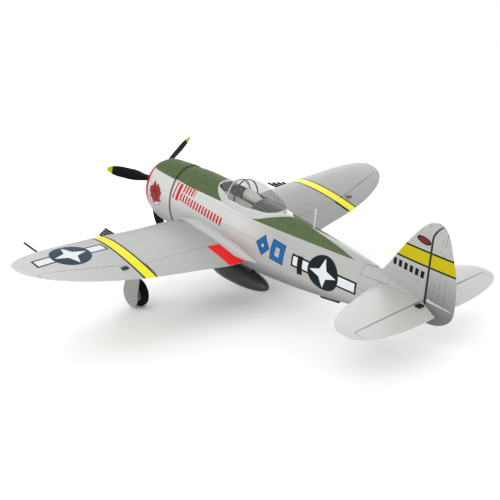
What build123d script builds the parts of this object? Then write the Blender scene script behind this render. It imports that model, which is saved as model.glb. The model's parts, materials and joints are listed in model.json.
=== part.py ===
from build123d import *
import os
from math import asin, atan2, cos, degrees, hypot, radians, sin, sqrt, tan

# Radio-controlled foam warbird with a fat radial-engined fuselage and a bubble canopy.
# Every piece is drawn level: +X is the left wing, +Y is aft, +Z is up, Y 0 is the front of the
# cowl and Z 0 is the thrust line.  At the end all pieces are stood on their three wheels.

# ---------------------------------------------------------------- driving dimensions, mm
half_span = 498.0
wing_root_x = 60.0
wing_root_lead = 140.0
wing_root_trail = 376.0
wing_tip_y = 214.0
wing_sweep = 28.0
wing_tip_power = 2.35
wing_root_z = -34.0
dihedral = radians(6.0)
washin = 0.03
wing_thickness = 0.12
wing_camber = 0.015

tail_half_span = 200.0
tail_z = 23.0
tail_lead = 686.0
tail_trail = 836.0
tail_sweep = 44.0
tail_tip_y = 780.0
elevator_y = 786.0
rudder_y = 791.0

foam_wall = 8.0
cowl_rear = 107.0
cowl_wall = 2.5
firewall_thickness = 5.0
motor_y = 69.0
prop_radius = 140.0
prop_y = -43.0
prop_phase = 22.3
shaft_radius = 2.5
running_gap = 0.06

tyre_radius = 32.0
tyre_width = 18.0
wheel_x = 182.0
axle_y = 155.0
axle_z = -169.0
axle_radius = 2.0
leg_x = 197.0
leg_top_y = 186.0
tail_tyre_radius = 11.0
tail_tyre_width = 7.0
tail_axle_y = 694.0
tail_axle_z = -69.0
tail_pivot_y = 682.0
tail_wire_radius = 1.6

hatch_floor = 30.0
hatch_middle = 337.5
hatch_gap = 0.35
hatch_travel_top = 130.0
cockpit_half = 24.0
cockpit_front = 262.0
cockpit_rear = 352.0

# Fuselage stations: distance aft, top, bottom, half width.
stations = [
    (cowl_rear, 74.5, -83, 59.5),
    (200, 80, -88, 62),
    (300, 77, -88, 60),
    (400, 72, -85, 54),
    (500, 64, -75, 45),
    (600, 56, -59, 33),
    (700, 43, -38, 18),
    (790, 30, -8, 6),
]

# Cowl stations, from behind the lip ring to the seam, and the ring's outside and inside.
cowl_stations = [
    (8, 62.5, -70.5, 56),
    (16, 67.5, -76.5, 58),
    (45, 74, -83, 60.5),
    (80, 77, -84.5, 61.2),
    (cowl_rear, 78, -84.5, 61.2),
]
lip_outside = [(0.4, 57, -65, 52), (2.5, 60, -68, 54.3), (8, 62.5, -70.5, 56)]
lip_inside = [(-1, 55.5, -63.5, 50.5), (0.4, 53, -61, 48), (3, 51, -59, 46), (9, 50, -58, 45)]

# Bubble stations: distance aft, height above the deck line, half width.
bubble_base = 60.0
bubble = [
    (280, 38, 33),
    (300, 46, 36.5),
    (325, 50.5, 36),
    (351, 49.5, 33.5),
    (376, 43, 29.5),
    (400, 33, 24.5),
    (412, 24, 19),
    (421, 11, 11),
    (425, 5, 6),
]
windscreen = [(224, 17, 19), (280, 38, 33)]
arch_y = 280.0

# Hatch outline seen from above: half width and distance aft.
hatch_rim = [(0, 228), (20, 233), (34, 249), (42, 272), (43.5, 300), (43, 330), (40, 377), (26, 412),
             (9, 439), (0, 447)]
glass_wall = 1.2

pieces = {}


def cross_plane(y):
    """The plane across the fuselage at one distance aft."""
    return Plane.XZ.offset(-y)


def hull(rows, inset=0.0):
    """A smooth body through oval stations, drawn in by an inset."""
    with BuildPart() as body:
        for y, top, bottom, half in rows:
            with BuildSketch(cross_plane(y)):
                with Locations((0, (top + bottom) / 2)):
                    Ellipse(half - inset, (top - bottom) / 2 - inset)
        loft()
    return body.part


def dome(rows, inset=0.0, ruled=False):
    """A body through ovals centred on the deck line, for the canopy's glass."""
    with BuildPart() as body:
        for y, height, half in rows:
            with BuildSketch(cross_plane(y)):
                with Locations((0, bubble_base)):
                    Ellipse(half - inset, height - inset)
        loft(ruled=ruled)
    return body.part


def block(x0, x1, y0, y1, z0, z1):
    """A plain box between two corners."""
    with BuildPart(Plane(((x0 + x1) / 2, (y0 + y1) / 2, (z0 + z1) / 2))) as body:
        Box(x1 - x0, y1 - y0, z1 - z0)
    return body.part


def rod(start, end, radius):
    """A round bar between two points."""
    run = Vector(*end) - Vector(*start)
    with BuildPart() as body:
        with BuildSketch(Plane(origin=start, z_dir=run)):
            Circle(radius)
        extrude(amount=run.length)
    return body.part


def keep(name, piece):
    """Take a finished piece into the aeroplane under its own name."""
    piece.label = name
    pieces[name] = piece


def keep_pair(name, piece):
    """Keep a left-hand piece and its mirror image."""
    keep(name + "_left", piece)
    keep(name + "_right", mirror(piece, about=Plane.YZ))


def keep_both(name, *solids):
    """Keep matching pieces of both sides as one node of separate solids."""
    keep(name, Compound(children=[*solids, *[mirror(solid, about=Plane.YZ) for solid in solids]]))


# ---------------------------------------------------------------- flying surfaces
def wing_lead(x):
    s = max(0.0, (x - wing_root_x) / (half_span - wing_root_x))
    tip = wing_tip_y - wing_root_lead - wing_sweep
    return wing_root_lead + wing_sweep * s + tip * (1 - sqrt(1 - s**8))


def wing_trail(x):
    s = max(0.0, (x - wing_root_x) / (half_span - wing_root_x))
    return wing_root_trail - (wing_root_trail - wing_tip_y) * (1 - sqrt(1 - s**wing_tip_power))


def wing_z(x, y):
    """Height of the wing's chord plane."""
    return wing_root_z + tan(dihedral) * (x - wing_root_x) - washin * (y - wing_root_lead)


def half_thickness(u, ratio):
    """Half thickness of a four-digit section at a share u of its chord."""
    return 5 * ratio * (0.2969 * sqrt(u) - 0.126 * u - 0.3516 * u**2 + 0.2843 * u**3 - 0.1036 * u**4)


def wing_top(x, y):
    """Height of the wing's upper skin."""
    chord = wing_trail(x) - wing_lead(x)
    u = (y - wing_lead(x)) / chord
    rise = 4 * wing_camber * u * (1 - u) + half_thickness(u, wing_thickness)
    return wing_z(x, y) + rise * chord + 0.4 * u


def section(plane, lead, trail, ratio, camber, base):
    """One closed aerofoil; base gives the chord line's height at a distance aft."""
    chord = trail - lead
    shares = (0, 0.01, 0.05, 0.15, 0.3, 0.5, 0.75, 1)

    def skin(side):
        points = []
        for u in shares:
            rise = 4 * camber * u * (1 - u) + side * half_thickness(u, ratio)
            y = lead + u * chord
            points.append((y, base(y) + rise * chord + side * 0.4 * u))
        return points

    with BuildSketch(plane) as outline:
        with BuildLine():
            over = Spline(*skin(1))
            under = Spline(*skin(-1))
            Line(over @ 1, under @ 1)
        make_face()
    return outline.sketch.face()


def aft_region(start, end, bevel, gap):
    """Everything behind a hinge line, with its front face slanted away above and below the line."""
    along = (Vector(*end) - Vector(*start)).normalized()
    up = Vector(0, 0, 1) if abs(along.Z) < 0.9 else Vector(-1, 0, 0)
    aft = up.cross(along)
    reach = 60.0
    slope = gap + reach * tan(radians(bevel))
    with BuildPart() as region:
        with BuildSketch(Plane(origin=Vector(*start) - along * 60, x_dir=aft, z_dir=along)):
            with BuildLine():
                Polyline((gap, 0), (slope, -reach), (160, -reach), (160, reach), (slope, reach), close=True)
            make_face()
        extrude(amount=(Vector(*end) - Vector(*start)).length + 120)
    return region.part


wing_spans = (0.0, 0.25, 0.5, 0.7, 0.82, 0.9, 0.95, 0.98, 0.995)
root_inside = 42.0
wing_ribs = [root_inside] + [wing_root_x + share * (half_span - wing_root_x) for share in wing_spans]
with BuildPart() as wing:
    ribs = []
    for x in wing_ribs:
        ribs.append(section(Plane.YZ.offset(x), wing_lead(x), wing_trail(x), wing_thickness, wing_camber,
                            lambda y: wing_z(x, y)))
    loft(ribs)
wing_solid = wing.part

outer = hull(stations)
inner = hull([row for row in stations if row[0] <= 700], foam_wall)

# Hinge lines of the left wing, on its upper skin.
flap_x = (60.5, 267.0)
aileron_x = (270.5, 469.0)
flap_hinge = [(x, y, wing_top(x, y)) for x, y in ((flap_x[0], 300.0), (flap_x[1], 313.0))]
aileron_hinge = [(x, y, wing_top(x, y)) for x, y in ((aileron_x[0], 314.0), (aileron_x[1], 262.0))]
end_gap = 1.0
hinge_gap = 0.5

flap_zone = aft_region(*flap_hinge, 48, hinge_gap)
aileron_zone = aft_region(*aileron_hinge, 32, hinge_gap)
flap_hole = aft_region(*flap_hinge, 0, 0) & block(flap_x[0] - end_gap, flap_x[1] + end_gap, 200, 450, -90, 90)
aileron_hole = aft_region(*aileron_hinge, 0, 0) & block(
    flap_x[1], aileron_x[1] + end_gap, 200, 450, -90, 90)
flap = wing_solid & flap_zone & block(*flap_x, 200, 450, -90, 90)
aileron = wing_solid & aileron_zone & block(*aileron_x, 200, 450, -90, 90)

# Spar tube through both panels.
spar_y = 218.0
spar_radius = 5.0
spar_reach = 190.0
spar_end = (spar_reach, spar_y, wing_z(spar_reach, spar_y) + 2)
spar_mid = (0, spar_y, wing_z(0, spar_y) + 2)
spar_left = rod(spar_mid, spar_end, spar_radius)
spar_bore = rod(spar_mid, spar_end, spar_radius + 0.05)

# Gun barrels stand out of the leading edge, the innermost furthest.
gun_radius = 2.5
gun_first_x = 235.5
gun_spacing = 9.0
gun_first_tip = 115.0
gun_stagger = 7.7
guns = []
for index in range(4):
    x = gun_first_x + gun_spacing * index
    tip = gun_first_tip + gun_stagger * index
    z = wing_z(x, 160) + 1.0
    guns.append(rod((x, tip, z), (x, wing_lead(x) + 14, z), gun_radius))

# Main leg: a wire clamped in a block let into the wing's underside.
leg_radius = 3.0
leg_low = (leg_x, axle_y, axle_z)
leg_high = (leg_x, leg_top_y, wing_z(leg_x, leg_top_y) - 4)
mount_half = 13.0
mount_block = block(leg_x - mount_half, leg_x + mount_half, leg_top_y - mount_half, leg_top_y + mount_half,
                    wing_z(leg_x, leg_top_y) - 12.5, wing_z(leg_x, leg_top_y) + 2)
leg_bar = rod(leg_low, leg_high, leg_radius)

# Aileron servo, flush in the wing's underside.
servo_x = 300.0
servo_y = 250.0
servo_z = wing_z(servo_x, servo_y)
servo_box = block(servo_x - 6, servo_x + 6, servo_y - 12, servo_y + 12, servo_z - 9.5, servo_z + 2)

panel = wing_solid - outer - flap_hole - aileron_hole - spar_bore - mount_block - servo_box
for barrel in guns:
    panel = panel - barrel
# Pitot tube, left wing only.
pitot_x = 421.0
pitot_z = wing_z(pitot_x, 180)
pitot_radius = 2.0
pitot = rod((pitot_x, wing_lead(pitot_x) - 56, pitot_z), (pitot_x, wing_lead(pitot_x) + 16, pitot_z),
            pitot_radius)
keep("wing_panel_left", panel - pitot)
keep("wing_panel_right", mirror(panel, about=Plane.YZ))
keep("pitot_tube", pitot)
keep_both("gun_barrels", *guns)
keep("spar_tube", spar_left + mirror(spar_left, about=Plane.YZ))

# Control horns: a plate on the upper skin and a lever below, one piece through the surface.
def horn(x, y, top_z, bottom_z, lean):
    plate = block(x - 7, x + 7, y, y + 11, top_z - 1.0, top_z + 1.0)
    stem = block(x - 1.2, x + 1.2, y + 2, y + 8, bottom_z, top_z)
    with BuildPart() as lever:
        with BuildSketch(Plane.YZ.offset(x - 1.2)):
            with BuildLine():
                Polyline((y + 1, bottom_z + 1), (y + 9, bottom_z + 1), (y + lean + 2.5, bottom_z - 13),
                         (y + lean - 2.5, bottom_z - 13), close=True)
            make_face()
        extrude(amount=2.4)
    return plate + stem + lever.part


horn_x = 315.0
horn_y = 308.0
aileron_horn = horn(horn_x, horn_y, wing_top(horn_x, horn_y + 5) + 0.2, wing_top(horn_x, horn_y + 5) - 12, 2)
keep_pair("aileron_horn", aileron_horn)
keep_pair("aileron", aileron - aileron_horn)
keep_pair("flap", flap)
keep_both("aileron_servos", servo_box)

# ---------------------------------------------------------------- tail
tail_spans = (0.0, 0.3, 0.6, 0.8, 0.92, 0.98)


def tail_edges(s):
    lead = tail_lead + tail_sweep * s + (tail_tip_y - tail_lead - tail_sweep) * (1 - sqrt(1 - s**6))
    trail = tail_trail - (tail_trail - tail_tip_y) * (1 - sqrt(1 - s**3.4))
    return lead, trail


with BuildPart() as tailplane:
    ribs = []
    for share in tail_spans:
        lead, trail = tail_edges(share)
        ribs.append(section(Plane.YZ.offset(share * tail_half_span), lead, trail, 0.075, 0, lambda y: tail_z))
    loft(ribs)
tail_left = tailplane.part
elevator_x = (9.0, 179.0)
elevator_hinge = [(x, elevator_y, tail_z) for x in (0, elevator_x[1])]
elevator_zone = aft_region(*elevator_hinge, 32, 0.3)
elevator_hole = aft_region(*elevator_hinge, 0, -0.5) & block(-1, elevator_x[1] + end_gap, 700, 900, -20, 90)
with BuildPart() as rudder_swing:
    with BuildSketch(Plane.XY.offset(-40)):
        with BuildLine():
            Polyline((-1, 770), (elevator_x[0], 770), (elevator_x[0], 790), (36, 845), (-1, 845), close=True)
        make_face()
    extrude(amount=160)
joiner_radius = 1.5
joiner_reach = 30.0
joiner = rod((-joiner_reach, elevator_y, tail_z), (joiner_reach, elevator_y, tail_z), joiner_radius)
joiner_space = rod((-joiner_reach - 1, elevator_y, tail_z), (joiner_reach + 1, elevator_y, tail_z), 2.2)
joiner_bore = rod((-20, elevator_y, tail_z), (20, elevator_y, tail_z), joiner_radius + running_gap)

elevator = (tail_left & elevator_zone & block(*elevator_x, 700, 900, -20, 90)) - rudder_swing.part - joiner
elevator_horn = horn(26.0, elevator_y + 6, tail_z + 4.6, tail_z - 4, 1)
keep("elevator_left", elevator - elevator_horn)
keep("elevator_right", mirror(elevator, about=Plane.YZ))
keep("elevator_joiner", joiner)
keep("elevator_horn", elevator_horn)

half_stabiliser = tail_left - elevator_hole
stabiliser = half_stabiliser + mirror(half_stabiliser, about=Plane.YZ) - joiner_space
keep("stabiliser", stabiliser)

# Fin and rudder: the outline in the plane of symmetry, thinned towards its top.
with BuildPart() as upright:
    with BuildSketch(Plane.YZ):
        with BuildLine():
            front = Spline((672, 28), (690, 48), (718, 90), (738, 121), (760, 151), (780, 171), (797, 177))
            crown = Spline(front @ 1, (814, 169), (830, 138), (845, 92), (851, 40), (846, 8), (826, -8),
                           (797, -13))
            Polyline(crown @ 1, (780, -13), (780, 0), front @ 0)
        make_face()
    extrude(amount=4.6, both=True)
upright_solid = upright.part
with BuildPart() as fin_envelope:
    for height, lead, half in ((-20, 640, 5.2), (60, 660, 4.6), (120, 690, 3.8), (180, 720, 2.2)):
        with BuildSketch(Plane.XY.offset(height)):
            with BuildLine():
                left = Spline((0, lead), (half, lead + 50), (half * 0.9, 790), (0.7, 856))
                right = Spline((0, lead), (-half, lead + 50), (-half * 0.9, 790), (-0.7, 856))
                Line(left @ 1, right @ 1)
            make_face()
    loft()
upright_solid = upright_solid & fin_envelope.part
rudder_hinge = [(0, rudder_y, -30), (0, rudder_y, 180)]
rudder_zone = aft_region(*rudder_hinge, 32, 0.3)
rudder_hole = aft_region(*rudder_hinge, 0, -0.5)
with BuildPart() as tip_cap:
    with BuildSketch(Plane.YZ):
        with BuildLine():
            under = Spline((rudder_y - 0.5, 147), (798, 160), (809, 176))
            Polyline(under @ 1, (809, 190), (740, 190), (740, 147), under @ 0)
        make_face()
    extrude(amount=8, both=True)
cap_gap = Location((0, 0.9, -0.4))
rudder = (upright_solid & rudder_zone) - tip_cap.part.moved(cap_gap)
rudder_horn = block(-14, 0, rudder_y + 7, rudder_y + 14, -2.2, -0.2)
keep("rudder", rudder - rudder_horn)
keep("rudder_horn", rudder_horn)
fin = (upright_solid - rudder_hole) + (upright_solid & tip_cap.part)
keep("fin", fin - outer - stabiliser - joiner_space)

# ---------------------------------------------------------------- fuselage and hatch
def hatch_prism(inset):
    """The space over and under the hatch outline, drawn in by an inset."""
    reach = (hatch_rim[-1][1] - hatch_rim[0][1]) / 2
    rim = [(max(half - inset, 0), y + inset * (hatch_middle - y) / reach) for half, y in hatch_rim]
    with BuildPart() as prism:
        with BuildSketch(Plane.XY.offset(hatch_floor)):
            with BuildLine():
                left = Spline(*rim)
                mirror(left, about=Plane.YZ)
            make_face()
        extrude(amount=hatch_travel_top - hatch_floor)
    return prism.part


hatch_hole = hatch_prism(0)
hatch_zone = hatch_prism(hatch_gap)
tail_bush = rod((0, tail_pivot_y, -60), (0, tail_pivot_y, -8), tail_wire_radius + running_gap)
stern = block(-20, 20, rudder_y - 0.5, 820, -40, 60)
shell = outer - inner - hatch_hole - stabiliser - joiner_bore - tail_bush - stern
shell = shell - spar_bore - mirror(spar_bore, about=Plane.YZ)
keep("fuselage_shell", shell)

cockpit = block(-cockpit_half, cockpit_half, cockpit_front, cockpit_rear, 30, 100)
hatch_frame = ((outer - inner) & hatch_zone) - cockpit
keep("hatch_frame", hatch_frame)

tub_floor = 36.0
tub_rim = 62.0
tub_wall = 1.5
tub_inner_half = cockpit_half - tub_wall
tub = block(-cockpit_half, cockpit_half, cockpit_front, cockpit_rear, tub_floor - 2, tub_rim) - block(
    -tub_inner_half, tub_inner_half, cockpit_front + tub_wall, cockpit_rear - tub_wall, tub_floor, 100)
keep("cockpit_tub", tub)

glass = dome(bubble) - dome(bubble, glass_wall)
keep("canopy_glass", glass - outer - block(-60, 60, 200, 460, 0, bubble_base))
screen = dome(windscreen, 0, True) - dome(windscreen, glass_wall, True)
arch_zone = block(-60, 60, arch_y - 2.5, arch_y, 0, 140)
keep("windscreen_glass", screen - outer - arch_zone - block(-60, 60, 200, 460, 0, bubble_base))
arch = (dome(windscreen, -0.8, True) - dome(windscreen, glass_wall + 1.4, True)) & arch_zone
keep("windscreen_arch", arch - outer)
rail_width = 1.8
rail_height = 2.0
raised = hull(stations, -rail_height)
rail = (dome(bubble, -rail_width) & raised) - outer - dome(bubble)
keep("canopy_rail", rail)

panel_y = 267.0
with BuildPart() as panel_plate:
    with BuildSketch(cross_plane(panel_y)):
        with Locations((0, 56)):
            RectangleRounded(2 * tub_inner_half, 34, 8)
    extrude(amount=2)
keep("instrument_panel", panel_plate.part)
with BuildPart() as seat_shape:
    with BuildSketch(Plane.YZ.offset(-13)):
        with BuildLine():
            Polyline((276, tub_floor), (306, tub_floor), (315, 76), (310, 77), (301, 42), (276, 42),
                     close=True)
        make_face()
    extrude(amount=26)
keep("pilot_seat", seat_shape.part)
hoop_y = 300.0
hoop_zone = block(-60, 60, hoop_y, hoop_y + 3, bubble_base, 140)
hoop = (dome(bubble, glass_wall + 0.4) - dome(bubble, glass_wall + 2.4)) & hoop_zone
keep("roll_hoop", hoop - outer)
keep("gunsight", (block(-4, 4, 246, 256, 70, 81) + rod((0, 251, 80), (0, 251, 84), 3)) - outer)

# ---------------------------------------------------------------- power train
keep("cowl", hull(cowl_stations) - hull(cowl_stations, cowl_wall))
keep("cowl_lip_ring", hull(lip_outside) - hull(lip_inside))

firewall_front = cowl_rear - firewall_thickness
keep("motor_mount", hull(cowl_stations, cowl_wall) & block(-90, 90, firewall_front, cowl_rear, -100, 100))
with BuildPart() as bell:
    with BuildSketch(cross_plane(motor_y)):
        Circle(17.5)
    extrude(amount=-26)
    with BuildSketch(cross_plane(motor_y + 3)):
        Circle(15)
    extrude(amount=-23, mode=Mode.SUBTRACT)
thread_radius = 2.0
thread_start = prop_y - 17
shaft_end = motor_y + 30
shaft = rod((0, thread_start, 0), (0, shaft_end, 0), shaft_radius) + rod(
    (0, thread_start - 9, 0), (0, thread_start + 1, 0), thread_radius)
stator = rod((0, motor_y + 4, 0), (0, motor_y + 22, 0), 14.4) + rod(
    (0, motor_y + 20, 0), (0, motor_y + 30, 0), 7) + rod((0, motor_y + 28, 0), (0, firewall_front, 0), 14)
stator = stator - rod((0, motor_y - 2, 0), (0, shaft_end + 0.5, 0), shaft_radius + running_gap)
keep("motor_bell", bell.part - shaft)
keep("motor_stator", stator)
keep("motor_shaft", shaft)

with BuildPart() as engine:
    with BuildSketch(cross_plane(60)):
        Circle(50)
    extrude(amount=3)
    with BuildSketch(cross_plane(57)):
        Circle(19)
    extrude(amount=22)
    with BuildSketch(cross_plane(35)):
        Circle(13)
    extrude(amount=9)
    for turn in range(9):
        angle = radians(90 + 40 * turn)
        heading = Vector(cos(angle), 0, sin(angle))
        with BuildSketch(Plane(origin=Vector(0, 46, 0) + heading * 15, z_dir=heading)):
            Circle(6)
        extrude(amount=31)
        for fin_index in range(6):
            with BuildSketch(Plane(origin=Vector(0, 46, 0) + heading * (23 + 4 * fin_index), z_dir=heading)):
                Circle(7.8)
            extrude(amount=1.4)
keep("dummy_engine", (engine.part - rod((0, 20, 0), (0, 70, 0), 4.0)) & hull(cowl_stations, cowl_wall + 0.2))

# Blade stations: distance out, chord, thickness and pitch angle.
blade_stations = [
    (5, 14, 9, 48),
    (30, 20, 6, 42),
    (60, 28, 4, 32),
    (100, 26, 2.8, 23),
    (128, 17, 2.0, 18),
    (prop_radius - 0.5, 6, 1.2, 16),
]
with BuildPart() as propeller:
    with BuildSketch(cross_plane(prop_y + 9)):
        Circle(11)
    extrude(amount=18)
    for blade in range(3):
        angle = radians(prop_phase + 120 * blade)
        heading = Vector(cos(angle), 0, sin(angle))
        with BuildPart(mode=Mode.PRIVATE) as one_blade:
            for reach, chord, thick, pitch in blade_stations:
                tilt = radians(pitch)
                side = heading.cross(Vector(0, 1, 0))
                chord_dir = side * cos(tilt) - Vector(0, 1, 0) * sin(tilt)
                with BuildSketch(Plane(origin=Vector(0, prop_y, 0) + heading * reach, x_dir=chord_dir,
                                       z_dir=heading)):
                    Ellipse(chord / 2, thick / 2)
            loft()
        add(one_blade.part)
keep("propeller", propeller.part - shaft)
with BuildPart() as nut:
    with BuildSketch(cross_plane(prop_y - 9)):
        RegularPolygon(6, 6)
    extrude(amount=8)
keep("prop_nut", nut.part - shaft)

# ---------------------------------------------------------------- equipment inside
tray_top = -20.0
tray_front = 130.0
tray_rear = 400.0
battery_half = 18.0
battery_front = 176.0
battery_rear = 286.0
battery_top = 10.0
strap_thickness = 2.0
strap_half = battery_half + strap_thickness
servo_length = 24.0
servo_width = 12.0
servo_height = 22.0
tail_servo_y = 350.0
keep("equipment_tray", inner & block(-80, 80, tray_front, tray_rear, tray_top - 4, tray_top))
battery = block(-battery_half, battery_half, battery_front, battery_rear, tray_top, battery_top)
keep("battery", battery)
strap = block(-strap_half, strap_half, 222, 240, tray_top, battery_top + strap_thickness)
keep("battery_strap", strap - battery)
keep("speed_controller", block(-13, 13, 132, 172, tray_top, tray_top + 10))
keep("receiver", block(-12, 12, 296, 326, tray_top, tray_top + 12))
keep_both("tail_servos", block(10, 10 + servo_width, tail_servo_y, tail_servo_y + servo_length, tray_top,
                               tray_top + servo_height))

# ---------------------------------------------------------------- undercarriage
axle = rod((wheel_x - 12, axle_y, axle_z), (leg_x, axle_y, axle_z), axle_radius)
sleeve_bottom = Vector(*leg_low) + (Vector(*leg_high) - Vector(*leg_low)) * 0.45
sleeve_top = Vector(*leg_low) + (Vector(*leg_high) - Vector(*leg_low)) * 0.9
sleeve = rod(tuple(sleeve_bottom), tuple(sleeve_top), 5)
keep_both("gear_legs", leg_bar + axle + sleeve)
keep_both("gear_mounts", mount_block - leg_bar)

with BuildPart() as door:
    with BuildSketch(Plane.YZ.offset(leg_x + leg_radius + 2.2)):
        with BuildLine():
            low = CenterArc((axle_y, axle_z), 28, 170, 200)
            Polyline(low @ 0, (leg_top_y - 20, -52), (leg_top_y + 20, -52), low @ 1)
        make_face()
    extrude(amount=1.5)
door_clip = block(leg_x, leg_x + leg_radius + 2.2, 160, 176, -130, -124) - leg_bar - sleeve
keep_both("gear_doors", door.part + door_clip)


def wheel(x, y, z, radius, width, hub_radius):
    """A tyre and its hub on a cross axle."""
    with BuildPart() as tyre:
        with BuildSketch(Plane.XZ):
            with Locations((radius - (radius - hub_radius) / 2, 0)):
                RectangleRounded(radius - hub_radius, width, (radius - hub_radius) * 0.42)
        revolve(axis=Axis.Z)
    with BuildPart() as hub:
        with BuildSketch(Plane.XZ):
            with Locations((hub_radius / 2, 0)):
                Rectangle(hub_radius, width * 0.62)
        revolve(axis=Axis.Z)
    place = Location((x, y, z), (0, 90, 0))
    hub_solid = hub.part.moved(place)
    return tyre.part.moved(place), hub_solid


tyre_solid, hub_solid = wheel(wheel_x, axle_y, axle_z, tyre_radius, tyre_width, 19)
axle_bore = rod((wheel_x - 30, axle_y, axle_z), (wheel_x + 12, axle_y, axle_z), axle_radius + running_gap)
keep_pair("main_tyre", tyre_solid)
keep_pair("main_hub", hub_solid - axle_bore)

tail_pin = 1.2
tail_tyre, tail_hub = wheel(0, tail_axle_y, tail_axle_z, tail_tyre_radius, tail_tyre_width, 6)
fork_half = tail_tyre_width / 2 + 1.2
fork_top = -53.0
wire = rod((0, tail_pivot_y, fork_top), (0, tail_pivot_y, -12), tail_wire_radius)
fork = block(-fork_half - 1.6, fork_half + 1.6, tail_pivot_y - 4, tail_axle_y + 3, fork_top - 2, fork_top)
for side in (-1, 1):
    x_low = min(side * fork_half, side * (fork_half + 1.6))
    fork = fork + block(x_low, x_low + 1.6, tail_axle_y - 3, tail_axle_y + 3, tail_axle_z - 3, fork_top)
pin = rod((-fork_half - 1.6, tail_axle_y, tail_axle_z), (fork_half + 1.6, tail_axle_y, tail_axle_z), tail_pin)
keep("tail_wheel_fork", wire + fork + pin)
tail_bore = rod((-10, tail_axle_y, tail_axle_z), (10, tail_axle_y, tail_axle_z), tail_pin + running_gap)
keep("tail_tyre", tail_tyre)
keep("tail_hub", tail_hub - tail_bore)

# ---------------------------------------------------------------- fittings outside
tank_z = -123.0
tank_widest_y = 257.0
tank_nose_length = 75.0
tank_tail_length = 127.0
tank_radius = 27.5
with BuildPart() as tank:
    with BuildSketch(Plane.YZ):
        with BuildLine():
            EllipticalCenterArc((tank_widest_y, tank_z), tank_tail_length, tank_radius, 0, arc_size=90)
            EllipticalCenterArc((tank_widest_y, tank_z), tank_nose_length, tank_radius, 90, arc_size=90)
            Line((tank_widest_y - tank_nose_length, tank_z), (tank_widest_y + tank_tail_length, tank_z))
        make_face()
    revolve(axis=Axis((0, 0, tank_z), (0, 1, 0)))
with BuildPart() as pylon:
    with BuildSketch(Plane.YZ):
        with BuildLine():
            Polyline((222, -60), (352, -60), (322, tank_z), (235, tank_z), close=True)
        make_face()
    extrude(amount=8, both=True)
keep("drop_tank", tank.part)
keep("tank_pylon", pylon.part - outer - tank.part)
hood = (hull([(y, top, bottom - 7, half * 0.5) for y, top, bottom, half in stations])
        & block(-16, 16, 545, 590, -90, -45)) - outer
keep("exhaust_hood", hood)
keep("antenna_mast", rod((0, 508, 60), (0, 510, 106), 1.4) - outer)

# ---------------------------------------------------------------- stand on three wheels
wheel_run = hypot(tail_axle_y - axle_y, tail_axle_z - axle_z)
axle_slope = atan2(tail_axle_z - axle_z, tail_axle_y - axle_y)
sit = degrees(axle_slope + asin((tyre_radius - tail_tyre_radius) / wheel_run))
turned = Location((0, 0, 0), (-sit, 0, 0))
boxes = [piece.moved(turned).bounding_box() for piece in pieces.values()]
centre_y = (min(box.min.Y for box in boxes) + max(box.max.Y for box in boxes)) / 2
ground = min(box.min.Z for box in boxes)
stance = Location((0, -centre_y, -ground), (-sit, 0, 0))

os.makedirs("parts", exist_ok=True)
for name, piece in pieces.items():
    placed = piece.moved(stance)
    placed.label = name
    export_step(placed, f"parts/{name}.step")
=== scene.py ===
import json
import math

import bmesh
import bpy
from mathutils import Matrix, Vector
from mathutils.bvhtree import BVHTree


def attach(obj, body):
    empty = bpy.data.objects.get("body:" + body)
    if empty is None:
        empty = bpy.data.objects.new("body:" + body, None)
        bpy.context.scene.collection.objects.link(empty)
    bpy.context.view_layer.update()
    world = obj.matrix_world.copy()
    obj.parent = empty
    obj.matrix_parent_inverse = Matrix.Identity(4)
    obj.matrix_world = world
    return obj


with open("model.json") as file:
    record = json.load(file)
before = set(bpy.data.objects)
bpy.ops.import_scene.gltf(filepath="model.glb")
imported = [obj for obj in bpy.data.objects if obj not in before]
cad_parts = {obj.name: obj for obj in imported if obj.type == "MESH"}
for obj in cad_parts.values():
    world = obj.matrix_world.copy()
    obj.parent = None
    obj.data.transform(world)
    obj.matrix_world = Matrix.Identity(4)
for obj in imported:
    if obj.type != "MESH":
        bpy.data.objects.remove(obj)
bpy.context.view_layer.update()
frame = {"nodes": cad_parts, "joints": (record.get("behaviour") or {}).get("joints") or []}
nodes = frame["nodes"]
joints = {joint["name"]: joint for joint in frame["joints"]}

# ------------------------------------------------------------------ the aeroplane's own frame
# The aeroplane sits nose high on its wheels.  Markings are laid out level, in millimetres:
# +X left wing, +Y aft from the cowl's lip, +Z up from the thrust line.
PROP_Y = -43.0
rudder_axis = joints["rudder_turn"]["axis"]
sit = math.atan2(rudder_axis[1], rudder_axis[2])
to_row = Matrix.Rotation(-sit, 4, "X") @ Matrix.Scale(0.001, 4)
prop_point = Vector(joints["propeller_spin"]["pos_m"])
to_row = Matrix.Translation(prop_point - to_row @ Vector((0, PROP_Y, 0))) @ to_row
to_level = to_row.inverted()


def place(x, y, z):
    """A level point in millimetres, as a point of the row frame in metres."""
    return to_row @ Vector((x, y, z))


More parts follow.
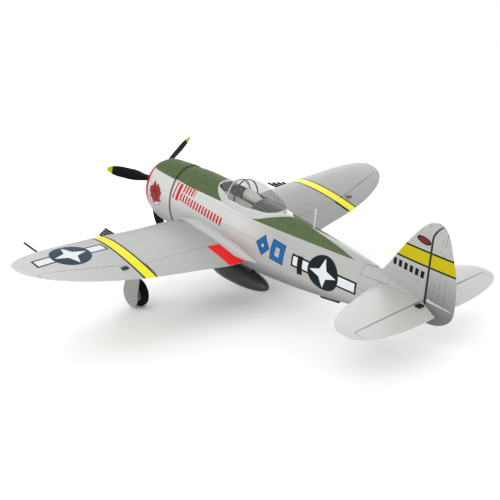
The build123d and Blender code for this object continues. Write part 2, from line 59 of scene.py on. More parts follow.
# ------------------------------------------------------------------ formulas as shader nodes
class Field:
    """A number in a shader, written as a formula that becomes Math nodes."""

    def __init__(self, tree, source):
        self.tree = tree
        self.source = source

    def math(self, operation, *others, clamp=False):
        """One Math node, fed with this value and the others."""
        node = self.tree.nodes.new("ShaderNodeMath")
        node.operation = operation
        node.use_clamp = clamp
        for socket, value in zip(node.inputs, (self, *others)):
            if isinstance(value, Field):
                self.tree.links.new(value.source, socket)
            else:
                socket.default_value = value
        return Field(self.tree, node.outputs[0])

    def __add__(self, other):
        return self.math("ADD", other)

    def __sub__(self, other):
        return self.math("SUBTRACT", other)

    def __mul__(self, other):
        return self.math("MULTIPLY", other)

    __radd__ = __add__
    __rmul__ = __mul__

    def __rsub__(self, other):
        return self * -1 + other

    def __abs__(self):
        return self.math("ABSOLUTE")

    def low(self, other):
        """The smaller of the two: two signed distances joined."""
        return self.math("MINIMUM", other)

    def high(self, other):
        """The larger of the two: where two signed distances overlap."""
        return self.math("MAXIMUM", other)

    def hypot(self, other):
        """The length of the vector that these two values make."""
        return (self * self + other * other).math("SQRT")

    def clamped(self):
        """This value, kept between 0 and 1."""
        return self.math("ADD", 0.0, clamp=True)

    def inside(self, blur=0.35):
        """1 where this signed distance is negative, with a soft edge that many millimetres wide."""
        return (self * (-1 / blur)).math("ADD", 0.5, clamp=True)

    def line(self, width, blur=0.3):
        """1 along the zero of this signed distance."""
        return (abs(self) - width / 2).inside(blur)

    def comb(self, pitch, width, blur=0.3):
        """1 along evenly spaced lines."""
        return (self.math("PINGPONG", pitch / 2) - width / 2).inside(blur)


def rectangle(u, v, half_u, half_v):
    """Signed distance to a rectangle centred at 0, 0."""
    return (abs(u) - half_u).high(abs(v) - half_v)


def oval(u, v, half_u, half_v):
    """Signed distance, near the edge, to an ellipse centred at 0, 0."""
    return ((u * (1 / half_u)).hypot(v * (1 / half_v)) - 1) * min(half_u, half_v)


def four_point_star(u, v, reach):
    """Signed distance, near the edge, to a straight-sided four-pointed star."""
    waist = reach * 0.27
    u, v = abs(u), abs(v)
    far, near = u.high(v), u.low(v)
    return (near * (reach - waist) + (far - reach) * waist) * (1 / math.hypot(reach - waist, waist))


def turned(u, v, degrees):
    """The same two coordinates, read along axes turned by an angle."""
    along, across = math.cos(math.radians(degrees)), math.sin(math.radians(degrees))
    return u * along + v * across, v * along - u * across


class Paint:
    """One procedural material, painted layer over layer in the aeroplane's own millimetres."""

    def __init__(self, name, colour, roughness=0.5, metallic=0.0, **settings):
        self.material = bpy.data.materials.new(name)
        self.material.use_nodes = True
        self.tree = self.material.node_tree
        self.shader = self.tree.nodes["Principled BSDF"]
        self.shader.inputs["Roughness"].default_value = roughness
        self.shader.inputs["Metallic"].default_value = metallic
        self.shader.inputs["Specular IOR Level"].default_value = 0.15
        for setting, value in settings.items():
            self.shader.inputs[setting.replace("_", " ")].default_value = value
        self.material.diffuse_color = (*colour, 1)
        coordinate = self.tree.nodes.new("ShaderNodeTexCoord")
        mapping = self.tree.nodes.new("ShaderNodeMapping")
        mapping.inputs["Location"].default_value = to_level.translation
        mapping.inputs["Rotation"].default_value = (sit, 0, 0)
        mapping.inputs["Scale"].default_value = (1000, 1000, 1000)
        self.tree.links.new(coordinate.outputs["Object"], mapping.inputs["Vector"])
        self.level = mapping.outputs["Vector"]
        self.x, self.y, self.z = self.split(self.level)
        mapping = self.tree.nodes.new("ShaderNodeMapping")
        mapping.vector_type = "NORMAL"
        mapping.inputs["Rotation"].default_value = (sit, 0, 0)
        self.tree.links.new(coordinate.outputs["Normal"], mapping.inputs["Vector"])
        self.facing = self.split(mapping.outputs["Vector"])
        start = self.tree.nodes.new("ShaderNodeRGB")
        start.outputs[0].default_value = (*colour, 1)
        self.colour = start.outputs[0]
        self.height = None
        self.rough = None
        self.base_roughness = roughness

    def split(self, vector):
        """The three components of a shader vector."""
        node = self.tree.nodes.new("ShaderNodeSeparateXYZ")
        self.tree.links.new(vector, node.inputs[0])
        return [Field(self.tree, output) for output in node.outputs]

    def layer(self, mask, colour):
        """Lay a colour over what is there, where the mask is 1."""
        node = self.tree.nodes.new("ShaderNodeMix")
        node.data_type = "RGBA"
        if isinstance(mask, Field):
            self.tree.links.new(mask.source, node.inputs["Factor"])
        else:
            node.inputs["Factor"].default_value = mask
        self.tree.links.new(self.colour, node.inputs["A"])
        node.inputs["B"].default_value = (*colour, 1)
        self.colour = node.outputs["Result"]

    def raise_by(self, field):
        """Add a height in millimetres to the surface's relief."""
        self.height = field if self.height is None else self.height + field

    def shine(self, field):
        """Add to the roughness."""
        self.rough = field + self.base_roughness if self.rough is None else self.rough + field

    def noise(self, size, detail=3.0, stretch=(1, 1, 1)):
        """Cloudy values from 0 to 1 whose blobs are about that many millimetres."""
        mapping = self.tree.nodes.new("ShaderNodeMapping")
        mapping.inputs["Scale"].default_value = stretch
        self.tree.links.new(self.level, mapping.inputs["Vector"])
        node = self.tree.nodes.new("ShaderNodeTexNoise")
        node.inputs["Scale"].default_value = 1 / size
        node.inputs["Detail"].default_value = detail
        self.tree.links.new(mapping.outputs["Vector"], node.inputs["Vector"])
        return Field(self.tree, node.outputs["Fac"])

    def beads(self, size):
        """0 at the middle of each foam bead, rising to its rim."""
        node = self.tree.nodes.new("ShaderNodeTexVoronoi")
        node.inputs["Scale"].default_value = 1 / size
        self.tree.links.new(self.level, node.inputs["Vector"])
        return Field(self.tree, node.outputs["Distance"])

    def done(self):
        """Connect what was painted to the shader, and hand over the material."""
        self.tree.links.new(self.colour, self.shader.inputs["Base Color"])
        if self.height is not None:
            bump = self.tree.nodes.new("ShaderNodeBump")
            bump.inputs["Distance"].default_value = 0.001
            self.tree.links.new(self.height.source, bump.inputs["Height"])
            self.tree.links.new(bump.outputs["Normal"], self.shader.inputs["Normal"])
        if self.rough is not None:
            self.tree.links.new(self.rough.clamped().source, self.shader.inputs["Roughness"])
        return self.material


SILVER = (0.40, 0.403, 0.395)
PAINTED_SHADE_SILVER = (0.27, 0.272, 0.268)
PALE_PAINTED_HIGHLIGHT_SILVER = (0.50, 0.51, 0.495)
PAINTED_HIGHLIGHT_SILVER = (0.58, 0.585, 0.575)
BELLY_PAINTED_SHADE = (0.20, 0.20, 0.20)
RUDDER_PAINTED_SHADE = (0.16, 0.16, 0.155)
PANEL_LINE = (0.12, 0.122, 0.125)
WORN_LINE = (0.06, 0.06, 0.06)
HINGE_GAP = (0.055, 0.056, 0.055)
SEAM = (0.03, 0.035, 0.03)
BLACK = (0.004, 0.004, 0.0045)
WHITE = (0.66, 0.68, 0.70)
YELLOW = (0.72, 0.66, 0.002)
FIN_YELLOW = (0.47, 0.40, 0.001)
BLADE_YELLOW = (0.36, 0.52, 0.01)
OLIVE = (0.085, 0.125, 0.055)
FADED_OLIVE = (0.105, 0.15, 0.07)
RED = (0.52, 0.004, 0.008)
LIP_RED = (0.45, 0.006, 0.012)
WALK_RED = (0.78, 0.012, 0.010)
BADGE_RED = (0.16, 0.012, 0.025)
SPLASH_RED = (0.34, 0.012, 0.012)
SPLASH_RIM = (0.03, 0.006, 0.006)
SPLASH_FLECK = (0.05, 0.008, 0.008)
SLIVER_RIM = (0.05, 0.05, 0.055)
SLATE = (0.007, 0.026, 0.052)
DEEP_SLATE = (0.004, 0.009, 0.013)
BLUE = (0.006, 0.12, 0.36)
DARK_BLUE = (0.003, 0.012, 0.06)
DECK = (0.030, 0.045, 0.028)
DECK_RIB = (0.16, 0.21, 0.14)
COAMING = (0.022, 0.028, 0.026)
COCKPIT_PAINTED_SHADE = (0.018, 0.024, 0.018)


def shade(colour, factor):
    """The same colour, made lighter or darker."""
    return tuple(channel * factor for channel in colour)


def silver_foam(name, colour=SILVER):
    """Satin silver paint over moulded foam: faint beads, slow clouding and small scuffs."""
    paint = Paint(name, colour, roughness=0.46, metallic=0.12)
    paint.layer(paint.noise(60, 2) * 0.35, shade(colour, 0.92))
    scuffs = paint.noise(9, 4).math("SUBTRACT", 0.62, clamp=True)
    paint.layer(scuffs * 0.6, shade(colour, 1.3))
    paint.raise_by(paint.beads(3.4) * -0.03)
    paint.raise_by(paint.noise(1.2, 2) * 0.012)
    paint.shine(paint.noise(14, 3) * 0.12 - 0.06)
    return paint


def cut(paint, lines, ink):
    """Panel lines: darker, and pressed into the foam."""
    paint.layer(lines * ink, PANEL_LINE)
    paint.raise_by(lines * -0.18)


def any_of(*masks):
    """1 where any of the masks is 1."""
    total = masks[0]
    for mask in masks[1:]:
        total = total.high(mask)
    return total


# ------------------------------------------------------------------ wing
ROOT_X, HALF_SPAN, ROOT_LEAD, ROOT_TRAIL = 60.0, 498.0, 140.0, 376.0
SWEEP, TIP_Y, LEAD_POWER, TRAIL_POWER = 28.0, 214.0, 8.0, 2.35
MIDDLE_CHORD = 225.0
SPAR_SHARES = (0.13, 0.36, 0.60)
RIB_SPANS = (128, 214, 318, 424)
BAY_X, BAY_Y, BAY_HALVES = 245, 205, ((30, 28), (26, 24))
BAND_X, BAND_HALF, BAND_EDGE = 284.5, 10.5, 4.4


def chord_share(paint):
    """How far aft a point lies, as a share of the local chord."""
    out = ((abs(paint.x) - ROOT_X) * (1 / (HALF_SPAN - ROOT_X))).clamped()
    lead_round = 1 - (1 - out.math("POWER", LEAD_POWER)).math("SQRT")
    trail_round = 1 - (1 - out.math("POWER", TRAIL_POWER)).math("SQRT")
    lead = out * SWEEP + lead_round * (TIP_Y - ROOT_LEAD - SWEEP) + ROOT_LEAD
    trail = ROOT_TRAIL - trail_round * (ROOT_TRAIL - TIP_Y)
    return (paint.y - lead).math("DIVIDE", trail - lead)


def roundel(paint, u, v, radius, bar_reach, bar_half, top, dark):
    """A generic disc with a four-pointed star between two plain bars."""
    bars = rectangle(u, v, bar_reach, bar_half)
    disc = u.hypot(v) - radius
    paint.layer((bars - 4.0).inside() * top, shade(dark, 0.5))
    paint.layer(bars.inside() * top, WHITE)
    paint.layer(disc.inside() * top, dark)
    paint.layer(four_point_star(u, v, radius * 0.86).inside() * top, WHITE)


def wing_paint(name, left):
    """Silver with a yellow band; the right wing is a darker copy as painted shade, the left wing lightens
    towards its tip as a painted highlight, and the left wing also has the roundel and the red walkway.
    """
    # Painted shade: the right wing gets a darker copy of the silver.
    paint = silver_foam(name, SILVER if left else PAINTED_SHADE_SILVER)
    span = abs(paint.x)
    # Painted highlight: the left wing lightens towards its tip.
    paint.layer(((paint.x - 300) * 0.004).clamped(), PAINTED_HIGHLIGHT_SILVER)
    share = chord_share(paint)
    spars = any_of(*[((share - at) * MIDDLE_CHORD).line(0.8) for at in SPAR_SHARES])
    ribs = any_of(*[(span - at).line(0.8) for at in RIB_SPANS])
    ribs = ribs * (share - SPAR_SHARES[0]).math("GREATER_THAN", 0.0)
    bay = any_of(*[rectangle(span - BAY_X, paint.y - BAY_Y, *half).line(0.9) for half in BAY_HALVES])
    cut(paint, any_of(spars, ribs, bay), 0.22)
    band = abs(span - BAND_X) - BAND_HALF
    paint.layer((band - BAND_EDGE).inside(), BLACK)
    paint.layer(band.inside(), YELLOW)
    if left:
        top = paint.facing[2].math("GREATER_THAN", 0.0)
        u, v = turned(paint.x - 382, paint.y - 227, 2.7)
        roundel(paint, u, v, 41, 75, 10, top, SLATE)
        walkway = rectangle(paint.x - 86, paint.y - 345, 21, 40)
        paint.layer(walkway.inside() * top, WALK_RED)
    return paint.done()


# ------------------------------------------------------------------ tail
RUDDER_HINGE_Y, RUDDER_BEND_Z = 791.6, 145
FIN_BAND_Z, FIN_BAND_HALF, FIN_BAND_EDGE = 106, 11.8, 3.4
# Each upright line's station at the thrust line, and its lean per millimetre of height.
UPRIGHT_LINES = ((766, 0.1), (803, 0.06), (815, 0.03), (829, 0.0))


def tail_paint(name):
    """Pale silver, lighter as a painted highlight, with faint ribs, for the stabiliser and the elevators."""
    # Painted highlight: the tail uses a paler copy of the silver.
    paint = silver_foam(name, PALE_PAINTED_HIGHLIGHT_SILVER)
    span = abs(paint.x)
    cut(paint, any_of(*[(span - at).line(0.7) for at in (40, 76, 112, 148)]), 0.15)
    return paint.done()


def fin_paint(name):
    """Fin and rudder: a yellow band, a plain oval badge, a row of ticks, the dark hinge gap and painted shade
    low on the rudder.
    """
    paint = silver_foam(name)
    # Painted shade: the rudder darkens towards its foot, behind the hinge.
    behind_hinge = ((paint.y - 785) * 0.1).clamped()
    low_down = ((95 - paint.z) * 0.012).clamped()
    paint.layer(low_down * behind_hinge, RUDDER_PAINTED_SHADE)
    cut(paint, any_of(*[(paint.z - at).line(0.7) for at in (60, 128, 150)]), 0.25)
    worn = (paint.noise(11, 3) - 0.46).math("MULTIPLY", 9, clamp=True)
    uprights = any_of(*[(paint.y - paint.z * lean - at).line(0.9) for at, lean in UPRIGHT_LINES])
    paint.layer(uprights * worn * 0.75, WORN_LINE)
    band = abs(paint.z - FIN_BAND_Z) - FIN_BAND_HALF
    paint.layer((band - FIN_BAND_EDGE).inside(), BLACK)
    paint.layer(band.inside(), FIN_YELLOW)
    u, v = turned(paint.y - 774, paint.z - 138, -8)
    badge = oval(u, v, 15.5, 6.8)
    paint.layer(badge.inside(), BLACK)
    paint.layer((badge + 1.8).inside(), BADGE_RED)
    u, v = turned(paint.y - 749, paint.z - 76, -3)
    ticks = rectangle(u, v, 36, 6.8).high(2.5 - u.math("PINGPONG", 6.2))
    paint.layer(ticks.inside(), BLACK)
    bend = (paint.z - RUDDER_BEND_Z).high(0.0)
    hinge = paint.y - RUDDER_HINGE_Y - bend * bend * 0.021
    paint.layer((abs(hinge) - 2.2).inside(), HINGE_GAP)
    return paint.done()


# ------------------------------------------------------------------ body and hatch
RING_LINES = (186, 305, 352, 466, 520, 655, 730)
STRINGER_LINES = (40, -40, -62)
# Each gap's station, half width and ink.
COWL_GAPS = ((106.25, 1.75, 0.75), (64.5, 0.5, 0.2))
LIP_EDGE = 15.5


def olive_areas(paint):
    """The dull green top: ahead of the windscreen, and beside the silver spine behind the canopy."""
    width = abs(paint.x)
    ahead = (paint.y - width.math("POWER", 3.0) * 0.000578 - 228).high(54 - paint.z)
    behind = ((452 - width * 1.95 - paint.y) * 0.43).high(47 - paint.z).high((paint.y - 500) * 0.1 - width)
    return ahead.low(behind)


def splash(paint, y, z, radius):
    """A plain ragged splash of red on the cowl's side, with dark flecks, over a pale sliver."""
    u, v = paint.y - y, paint.z - z
    ragged = (paint.noise(8, 3) - 0.5) * 26
    sliver = oval(u + 2, v + radius * 0.62, 19, 11)
    paint.layer((sliver - 1.4).inside(), SLIVER_RIM)
    paint.layer(sliver.inside(0.6), WHITE)
    edge = (u * 1.05).hypot(v * 0.95) - radius * 0.9 - ragged
    paint.layer((edge - 1.6).inside(), SPLASH_RIM)
    paint.layer(edge.inside(), SPLASH_RED)
    flecks = (paint.noise(7, 2) - 0.54) * 40
    paint.layer((edge + 4).high(flecks * -1).inside(), SPLASH_FLECK)


def name_flash(paint):
    """Plain slanted red bars along the nose, two tall ones and two rows of short ones."""
    slant = paint.y - paint.z * 0.18
    tall = rectangle(slant - 123.5, paint.z - 33, 12.5, 19).high((slant - 111).math("PINGPONG", 8.3) - 4.9)
    upper = rectangle(slant - 160, paint.z - 46, 22, 8.0).high(2.3 - (slant - 138).math("PINGPONG", 4.9))
    drop = paint.z - 27 + (slant - 140) * 0.07
    lower = rectangle(slant - 212, drop, 76, 9.0).high(2.4 - (slant - 136).math("PINGPONG", 5.1))
    return tall.low(upper).low(lower)


def block_marks(paint):
    """Two plain blue blocks behind the wing: a diamond and a square ring."""
    u, v = turned(paint.y - 417, paint.z - 8, -6)
    diamond = (abs(u) * (1 / 17) + abs(v) * (1 / 21) - 1) * 13
    hollow = (abs(u) * (1 / 7) + abs(v) * (1 / 9) - 1) * 5
    u, v = turned(paint.y - 457, paint.z - 6, -6)
    ring = abs(rectangle(u, v, 13, 17) + 1.0) - 4.5
    return diamond.high(hollow * -1).low(ring)


def fuselage_paint(name):
    """Body and cowl: silver with a painted highlight on the upper side and painted shade towards the belly, a
    dull green top, a red front edge and the side markings.
    """
    paint = silver_foam(name)
    # Painted highlight: the upper side of the fuselage, ahead of the tail, is lightened.
    lit = ((paint.z + 15) * 0.03).low((440 - paint.y) * 0.01).clamped()
    paint.layer(lit, PAINTED_HIGHLIGHT_SILVER)
    # Painted shade: darker towards the belly, standing in for the shade under the fuselage.
    paint.layer(((-28 - paint.z) * 0.035).clamped(), BELLY_PAINTED_SHADE)
    rings = any_of(*[(paint.y - at).line(0.8) for at in RING_LINES])
    stringers = any_of(*[(paint.z - at + (paint.y - 400) * 0.04).line(0.8) for at in STRINGER_LINES])
    cut(paint, any_of(rings, stringers), 0.25)
    side_joint = (paint.z - 13 + (paint.y - 350) * 0.0365).line(0.9)
    cut(paint, side_joint, 0.6)
    tail_panel = rectangle(paint.y - 684, paint.z - 38, 30, 9).line(0.9)
    cut(paint, tail_panel, 0.6)
    olive = olive_areas(paint).inside(0.5)
    paint.layer(olive, OLIVE)
    fading = (paint.noise(18, 4) - 0.45).math("MULTIPLY", 1.6, clamp=True)
    paint.layer(olive * fading, FADED_OLIVE)
    paint.shine(olive * 0.3)
    for at, half_width, ink in COWL_GAPS:
        gap = (abs(paint.y - at) - half_width).inside(0.5)
        paint.layer(gap * ink, SEAM)
    paint.layer((paint.y - LIP_EDGE).inside(), LIP_RED)
    splash(paint, 50, 5, 24)
    paint.layer(name_flash(paint).inside(), RED)
    marks = block_marks(paint)
    paint.layer((marks - 1.6).inside(), DARK_BLUE)
    paint.layer(marks.inside(), BLUE)
    u, v = turned(paint.y - 573, paint.z - 1, -2.5)
    side = (paint.z - 47).math("LESS_THAN", 0.0)
    roundel(paint, u, v, 36.5, 74, 9.5, side, DEEP_SLATE)
    return paint.done()


def hatch_paint(name):
    """The hatch: a rim in pale silver, lighter as a painted highlight, a dull green ribbed deck, a dark
    coaming under the glass, and painted shade in the cockpit opening.
    """
    # Painted highlight: the hatch rim uses a paler copy of the silver.
    paint = silver_foam(name, PALE_PAINTED_HIGHLIGHT_SILVER)
    width = abs(paint.x)
    aft = (paint.y - 345).high(0.0) * (1 / 80)
    deck = (width - 33 + aft.math("POWER", 2.3) * 30).high((353 - paint.y) * 0.7)
    paint.layer(deck.inside(), DECK)
    ribs = paint.x.comb(7.0, 2.4) * deck.inside()
    paint.layer(ribs * 0.8, DECK_RIB)
    paint.raise_by(ribs * -0.5)
    coaming = (width - 18 - (paint.y - 224) * 0.25).high(paint.y - 262.5).high((236 - paint.y) * 0.7)
    paint.layer(coaming.inside(), COAMING)
    # Painted shade: the cockpit opening is painted near black.
    opening = (width - 24.2).high(abs(paint.y - 307) - 45.2)
    paint.layer(opening.inside(), COCKPIT_PAINTED_SHADE)
    return paint.done()


# ------------------------------------------------------------------ plain finishes
def moulded(name, colour, roughness=0.5, grain=0.6, **settings):
    """Moulded plastic with a fine grain and small marks."""
    paint = Paint(name, colour, roughness=roughness, **settings)
    lighter = tuple(min(1, c * 1.5 + 0.002) for c in colour)
    paint.layer(paint.noise(7, 4).math("SUBTRACT", 0.55, clamp=True) * 0.7, lighter)
    paint.raise_by(paint.noise(grain, 3) * 0.02)
    paint.shine(paint.noise(5, 3) * 0.14 - 0.07)
    return paint


def brushed(name, colour, roughness=0.3):
    """Bare metal with fine brush marks."""
    paint = Paint(name, colour, roughness=roughness, metallic=1.0)
    paint.layer(paint.noise(2, 4, (0.2, 1, 6)) * 0.4, shade(colour, 0.6))
    paint.shine(paint.noise(1.5, 3, (0.2, 1, 6)) * 0.25 - 0.1)
    return paint


def plywood(name):
    """Light plywood with its grain running fore and aft."""
    paint = Paint(name, (0.55, 0.38, 0.21), roughness=0.6)
    paint.layer(paint.noise(4, 4, (1, 0.1, 1)) * 0.6, (0.33, 0.2, 0.1))
    paint.raise_by(paint.noise(2, 3, (1, 0.1, 1)) * 0.05)
    return paint


def propeller_paint(name):
    """Matt black blades with green-yellow tips."""
    paint = moulded(name, (0.0022, 0.0022, 0.0025), roughness=0.62)
    reach = paint.x.hypot(paint.z)
    paint.layer((126.0 - reach).inside(), BLADE_YELLOW)
    return paint


def clear_plastic(name):
    """Thin clear canopy plastic, very slightly smoked."""
    paint = Paint(name, (0.20, 0.21, 0.215), roughness=0.05, IOR=1.45, Alpha=0.20)
    paint.layer(paint.noise(30, 2) * 0.3, (0.21, 0.22, 0.225))
    paint.shine(paint.noise(12, 3) * 0.04)
    return paint


def use(material, *names):
    """Give these CAD pieces one finish."""
    for name in names:
        mesh = nodes[name].data
        mesh.materials.clear()
        mesh.materials.append(material)


use(wing_paint("wing_left_paint", left=True), "wing_panel_left", "aileron_left", "flap_left")
use(wing_paint("wing_right_paint", left=False), "wing_panel_right", "aileron_right", "flap_right")
use(hatch_paint("hatch_paint"), "hatch_frame")
# Pale silver as a painted highlight, for the stabiliser, elevators and rudder cone.
tail_silver = tail_paint("tail_paint")
use(tail_silver, "stabiliser", "elevator_left", "elevator_right")
use(fin_paint("fin_paint"), "fin", "rudder")
use(fuselage_paint("fuselage_paint"), "fuselage_shell", "cowl")
# Painted shade: the gear doors get a darker grey in place of silver.
use(moulded("door_painted_shade_grey", (0.27, 0.27, 0.27), 0.5).done(), "gear_doors")
use(moulded("lip_red", (0.36, 0.010, 0.015), 0.35).done(), "cowl_lip_ring")
moulded_black = moulded("moulded_black", BLACK, 0.45).done()
use(moulded_black, "gun_barrels", "pitot_tube", "exhaust_hood", "gunsight", "gear_mounts")
use(moulded_black, "aileron_horn_left", "aileron_horn_right", "elevator_horn", "rudder_horn")
use(moulded_black, "speed_controller", "receiver", "tail_servos", "aileron_servos")
use(moulded("engine_grey", (0.06, 0.062, 0.065), 0.5).done(), "dummy_engine")
use(moulded("panel_black", (0.008, 0.009, 0.009), 0.5).done(), "instrument_panel")
use(plywood("ply").done(), "motor_mount", "equipment_tray")
steel = brushed("steel", (0.52, 0.52, 0.53)).done()
use(steel, "motor_bell", "motor_stator", "prop_nut", "motor_shaft")
use(steel, "elevator_joiner", "tail_wheel_fork", "gear_legs")
use(moulded("carbon", (0.02, 0.02, 0.022), 0.3).done(), "spar_tube")
use(moulded("battery_wrap", (0.02, 0.05, 0.18), 0.35).done(), "battery")
use(moulded("strap", (0.02, 0.02, 0.02), 0.9).done(), "battery_strap")
use(clear_plastic("clear").done(), "canopy_glass", "windscreen_glass")
frame_grey = moulded("frame_grey", (0.55, 0.56, 0.56), 0.4).done()
use(frame_grey, "canopy_rail", "windscreen_arch", "antenna_mast")
use(moulded("hoop_dark", (0.03, 0.032, 0.035), 0.5).done(), "roll_hoop")
use(moulded("cockpit_green", (0.022, 0.028, 0.02), 0.6).done(), "cockpit_tub")
use(moulded("seat", (0.55, 0.53, 0.46), 0.55).done(), "pilot_seat")
use(propeller_paint("propeller_paint").done(), "propeller")
use(moulded("rubber", (0.003, 0.003, 0.0033), 0.85).done(), "main_tyre_left", "main_tyre_right", "tail_tyre")
use(moulded("hub", (0.30, 0.31, 0.315), 0.45).done(), "main_hub_left", "main_hub_right", "tail_hub")
tank_grey = moulded("tank", (0.055, 0.060, 0.056), 0.36, Metallic=0.45).done()
use(tank_grey, "drop_tank", "tank_pylon")

# ------------------------------------------------------------------ pieces added on the CAD's skins
bpy.context.view_layer.update()


def skin(*names):
    """The surfaces of these CAD pieces, level and in millimetres, to cast rays at."""
    vertices, polygons = [], []
    for name in names:
        base = len(vertices)
        mesh = nodes[name].data
        matrix = to_level @ nodes[name].matrix_world
        vertices.extend(matrix @ vertex.co for vertex in mesh.vertices)
        polygons.extend([base + index for index in polygon.vertices] for polygon in mesh.polygons)
    return BVHTree.FromPolygons(vertices, polygons)


def skinned(rows):
    """A closed solid over rows of points, each row a ring."""
    count = len(rows[0])
    vertices = [point for row in rows for point in row]
    faces = [tuple(range(count)), tuple(range(len(vertices) - count, len(vertices)))]
    for first in range(0, len(vertices) - count, count):
        for k in range(count):
            n = (k + 1) % count
            faces.append((first + k, first + n, first + count + n, first + count + k))
    return vertices, faces


def lathe(profile, origin, axis, steps=32):
    """A turned solid; the profile runs (along, radius) from one pole to the other."""
    axis = Vector(axis).normalized()
    side = axis.orthogonal().normalized()
    other = axis.cross(side)
    vertices, rings = [], []
    for along, radius in profile:
        centre = Vector(origin) + axis * along
        turns = [2 * math.pi * k / steps for k in range(steps)] if radius else [0]
        rings.append([len(vertices) + k for k in range(len(turns))])
        vertices.extend(centre + (side * math.cos(a) + other * math.sin(a)) * radius for a in turns)
    faces = []
    for near, far in zip(rings, rings[1:]):
        for k in range(steps):
            n = (k + 1) % steps
            corners = [near[k % len(near)], near[n % len(near)], far[n % len(far)], far[k % len(far)]]
            faces.append(tuple(dict.fromkeys(corners)))
    return vertices, faces


def add_piece(name, solids, material, body):
    """One object of closed solids, riding on a body."""
    vertices, faces = [], []
    for solid_vertices, solid_faces in solids:
        base = len(vertices)
        vertices.extend(place(*vertex) for vertex in solid_vertices)
        faces.extend(tuple(base + index for index in face) for face in solid_faces)
    mesh = bpy.data.meshes.new(name)
    mesh.from_pydata(vertices, [], faces)
    shape = bmesh.new()
    shape.from_mesh(mesh)
    bmesh.ops.recalc_face_normals(shape, faces=shape.faces)
    shape.to_mesh(mesh)
    shape.free()
    mesh.polygons.foreach_set("use_smooth", [True] * len(mesh.polygons))
    mesh.set_sharp_from_angle(angle=math.radians(35))
    mesh.materials.append(material)
    piece = bpy.data.objects.new(name, mesh)
    bpy.context.scene.collection.objects.link(piece)
    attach(piece, body)


def mirrored(solid):
    """The same solid on the right side."""
    return [(-x, y, z) for x, y, z in solid[0]], solid[1]


shell = skin("fuselage_shell")
inner_wing = skin("wing_panel_left", "flap_left")
INWARD, DOWN = Vector((-1, 0, 0)), Vector((0, 0, -1))
PROBE_X, PROBE_REAR, ROOT_SLOPE = 66, 374, 0.105
FILLET_FRONT, FILLET_BACK, FILLET_PITCH, FILLET_ROWS = 147, 403, 6, 43
FILLET_OUT, FILLET_RISE, FILLET_GAP = 74, 16, 0.15


def side_x(y, z):
    """Half width of the fuselage at one point of its side."""
    return shell.ray_cast(Vector((150, y, z)), INWARD)[0].x


def wing_top_z(x, y):
    """Height of the left wing's upper skin near its root, held level behind the trailing edge."""
    rear = min(y, PROBE_REAR)
    hits = [inner_wing.ray_cast(Vector((PROBE_X, rear + step, 60)), DOWN)[0] for step in (-2, 2)]
    return max(hit.z for hit in hits if hit) + (x - PROBE_X) * ROOT_SLOPE


def bowed(start, bend, end, steps=8):
    """Points along a curve that leaves start towards bend and arrives at end."""
    shares = [k / steps for k in range(steps + 1)]
    return [start * (1 - t) ** 2 + bend * (2 * t * (1 - t)) + end * t * t for t in shares]


def root_fillet():
    """The smooth fairing between the wing's upper skin and the fuselage."""
    rows = []
    for step in range(FILLET_ROWS):
        y = FILLET_FRONT + FILLET_PITCH * step
        fade_in = min(1, 0.15 + (y - FILLET_FRONT) / 80)
        fade_out = min(1, max(0.06, (FILLET_BACK - y) / 50))
        swell = fade_in * fade_out
        foot = side_x(y, wing_top_z(58, y))
        out = foot + (FILLET_OUT - foot) * swell
        low, rim = wing_top_z(foot, y) + FILLET_GAP, wing_top_z(out, y) + FILLET_GAP
        rise = FILLET_RISE * swell
        head = side_x(y, low + rise)
        curve = bowed(Vector((out, rim + 0.45)), Vector((foot + 1.5, low + rise * 0.12)),
                      Vector((head, low + rise)))
        ring = [(point.x, y, point.y) for point in curve]
        rows.append(ring + [(head - 1.5, y, low + rise), (foot - 1.5, y, low), (out, y, rim)])
    return skinned(rows)


def side_plate(y_from, y_to, z_from, z_to, thickness):
    """A raised plate that follows the fuselage's side."""
    rows = []
    for step in range(9):
        z = z_from + (z_to - z_from) * step / 8
        near, far = side_x(y_from, z), side_x(y_to, z)
        rows.append([(near + thickness, y_from + 1, z), (far + thickness, y_to - 1, z), (far + 0.2, y_to, z),
                     (far - 1, y_to, z), (near - 1, y_from, z), (near + 0.2, y_from, z)])
    return skinned(rows)


def dial(x, z, radius):
    """A dial's bezel, standing on the instrument panel."""
    profile = [(0.35, 0), (0.35, radius - 1.5), (1.4, radius - 1.2), (1.4, radius - 0.4),
               (0.9, radius), (0.0, radius), (0.0, 0)]
    return lathe(profile, (x, 267.05, z), (0, 1, 0), 24)


fillet = root_fillet()
# Painted highlight: the root fillets use a paler copy of the silver.
fillet_silver = silver_foam("fillet_silver", PALE_PAINTED_HIGHLIGHT_SILVER).done()
add_piece("root_fillets", [fillet, mirrored(fillet)], fillet_silver, "airframe")
plate = side_plate(511, 523, -20, 18, 1.8)
add_piece("side_plates", [plate, mirrored(plate)], moulded_black, "airframe")

ball_and_cone = [(0, 0), (0.6, 2.6), (2, 4.4), (4.5, 5.4), (8, 5.4), (9, 4.6),
                 (52, 1.6), (53.5, 0.9), (54, 0)]
# The rudder cone uses the pale tail silver, a painted highlight.
add_piece("rudder_cone", [lathe(ball_and_cone, (0, 792.2, 30), (0, 1, -0.07))], tail_silver, "rudder")

headrest_shape = [(0, 0), (0.5, 6), (2, 10), (5, 12.8), (9, 13.6), (28, 11.4), (44, 8.4), (48, 6.4), (49, 0)]
headrest_cream = moulded("headrest_cream", (0.78, 0.76, 0.68), 0.5).done()
add_piece("headrest", [lathe(headrest_shape, (0, 301, 73), (0, 1, -0.12))], headrest_cream, "hatch")

dial_places = ((-14, 64, 5.5), (0, 66, 5.5), (14, 64, 5.5), (-8, 53, 4.5), (6, 53, 4.5))
dial_grey = moulded("dial_grey", (0.22, 0.22, 0.21), 0.4).done()
add_piece("dials", [dial(*place_and_radius) for place_and_radius in dial_places], dial_grey, "hatch")

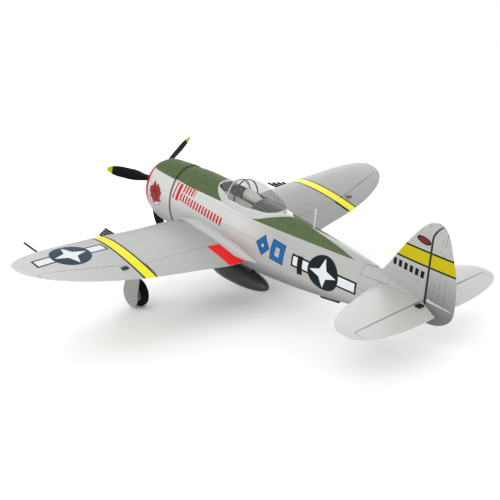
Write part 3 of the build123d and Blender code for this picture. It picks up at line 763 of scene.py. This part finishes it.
# ------------------------------------------------------------------ stage, light and camera
bpy.ops.mesh.primitive_plane_add(size=400, location=(0, 0, 0))
floor = bpy.context.object
floor.name = "floor"
floor_paint = bpy.data.materials.new("floor")
floor_paint.use_nodes = True
floor_shader = floor_paint.node_tree.nodes["Principled BSDF"]
floor_shader.inputs["Base Color"].default_value = (0.95, 0.95, 0.95, 1)
floor_shader.inputs["Roughness"].default_value = 0.9
floor.data.materials.append(floor_paint)

# An even white studio, a touch weaker overhead than at the horizon.
HORIZON_LIGHT, OVERHEAD_LIGHT = 1.12, 1.06
scene = bpy.context.scene
world = bpy.data.worlds.new("studio")
world.use_nodes = True
sky = world.node_tree.nodes["Background"]
sky.inputs["Color"].default_value = (1, 1, 1, 1)
direction = world.node_tree.nodes.new("ShaderNodeTexCoord")
split = world.node_tree.nodes.new("ShaderNodeSeparateXYZ")
overhead = world.node_tree.nodes.new("ShaderNodeMapRange")
overhead.inputs["To Min"].default_value = HORIZON_LIGHT
overhead.inputs["To Max"].default_value = OVERHEAD_LIGHT
world.node_tree.links.new(direction.outputs["Generated"], split.inputs[0])
world.node_tree.links.new(split.outputs["Z"], overhead.inputs["Value"])
world.node_tree.links.new(overhead.outputs["Result"], sky.inputs["Strength"])
scene.world = world
scene.view_settings.view_transform = "Standard"


def softbox(name, place_at, aim, size, watts):
    """A large square lamp looking at a point."""
    lamp = bpy.data.lights.new(name, "AREA")
    lamp.size = size
    lamp.energy = watts
    box = bpy.data.objects.new(name, lamp)
    box.location = place_at
    box.rotation_euler = (Vector(aim) - Vector(place_at)).to_track_quat("-Z", "Y").to_euler()
    scene.collection.objects.link(box)


middle = Vector((0, 0, 0.15))
softbox("key", (-2.2, -1.7, 1.4), middle, 1.8, 36)
softbox("fill", (1.9, 1.0, 0.75), middle, 1.2, 12)

# The viewpoint, level: a point behind, left of and above the aeroplane.
EYE_AZIMUTH, EYE_HEIGHT, EYE_ROLL = 137.351, 24.33, 2.422
EYE_DISTANCE, SENSOR, FOCAL_SHARE = 1764.3, 36, 1.6667
SHIFT_X, SHIFT_Y = -0.029, -0.032
AIM = Vector((0, 364.9, 0))
azimuth, height = math.radians(EYE_AZIMUTH), math.radians(EYE_HEIGHT)
back = Vector((math.sin(azimuth) * math.cos(height), -math.cos(azimuth) * math.cos(height), math.sin(height)))
right = Vector((0, 0, 1)).cross(back).normalized()
up = back.cross(right)
roll = math.radians(EYE_ROLL)
right, up = right * math.cos(roll) + up * math.sin(roll), up * math.cos(roll) - right * math.sin(roll)
camera_data = bpy.data.cameras.new("camera")
camera = bpy.data.objects.new("camera", camera_data)
scene.collection.objects.link(camera)
stand = Matrix((right, up, back)).transposed().to_4x4()
stand.translation = AIM + back * EYE_DISTANCE
turn_only = Matrix.Rotation(-sit, 4, "X")
camera.matrix_world = Matrix.Translation(to_row @ stand.translation) @ turn_only @ stand.to_3x3().to_4x4()
camera_data.sensor_width = SENSOR
camera_data.lens = SENSOR * FOCAL_SHARE
camera_data.shift_x = SHIFT_X
camera_data.shift_y = SHIFT_Y
camera_data.clip_end = 1000
scene.camera = camera
